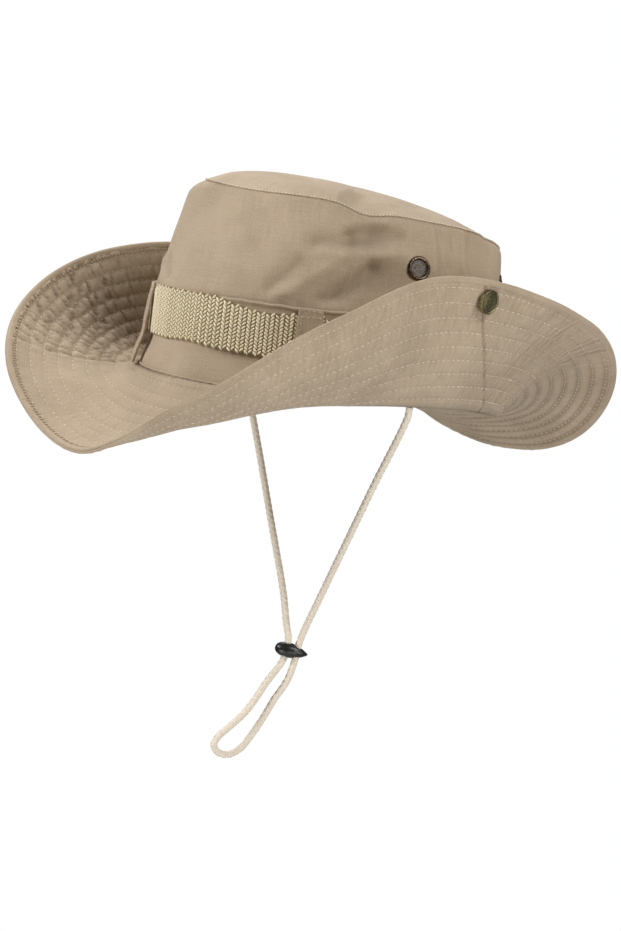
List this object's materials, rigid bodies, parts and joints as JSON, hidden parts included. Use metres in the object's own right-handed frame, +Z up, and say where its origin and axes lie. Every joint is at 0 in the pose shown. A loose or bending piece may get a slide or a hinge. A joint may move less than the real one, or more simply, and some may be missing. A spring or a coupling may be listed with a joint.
{
  "type": "sun hat",
  "caption": "Cotton bush hat with a domed crown, stitched brim curled up at both sides, webbing band under cloth loops, screened eyelets, snaps to hold the brim up, and a chin cord with a lock",
  "frame": {"origin": "Middle of the head opening, where the hat sits on a head, at the height of the brim seam", "axes": "+Z up through the crown, -Y the front of the hat, +X the wearer's left, the side with the lower brim"},
  "size_m": [0.2423, 0.3486, 0.3181],
  "materials": {
    "cloth": "khaki cotton, fine plain weave with a faint grid",
    "webbing": "cream woven webbing",
    "cord": "cream braided cord",
    "dark_metal": "dark bronzed eyelet with a worn rim",
    "screen": "dark fine wire screen",
    "aged_snap": "dark aged brass snap",
    "black_plastic": "smooth black plastic"
  },
  "bodies": {
    "root": {"crown_side": "cloth", "crown_top": "cloth", "brim": "cloth", "brim_binding": "cloth", "band_tape": "cloth", "loop_left_front": "cloth", "loop_left_back": "cloth", "loop_right_back": "cloth", "loop_right_front": "cloth", "webbing_band": "webbing", "vent_left_front": "dark_metal", "vent_screen_left_front": "screen", "vent_left_back": "dark_metal", "vent_screen_left_back": "screen", "vent_right_back": "dark_metal", "vent_screen_right_back": "screen", "vent_right_front": "dark_metal", "vent_screen_right_front": "screen", "crown_stud_left": "aged_snap", "crown_stud_right": "aged_snap", "brim_snap_left": "aged_snap", "brim_snap_socket_left": "aged_snap", "brim_snap_right": "aged_snap", "brim_snap_socket_right": "aged_snap", "chin_cord": "cord", "cord_lock": "black_plastic"}
  },
  "joints": []
}
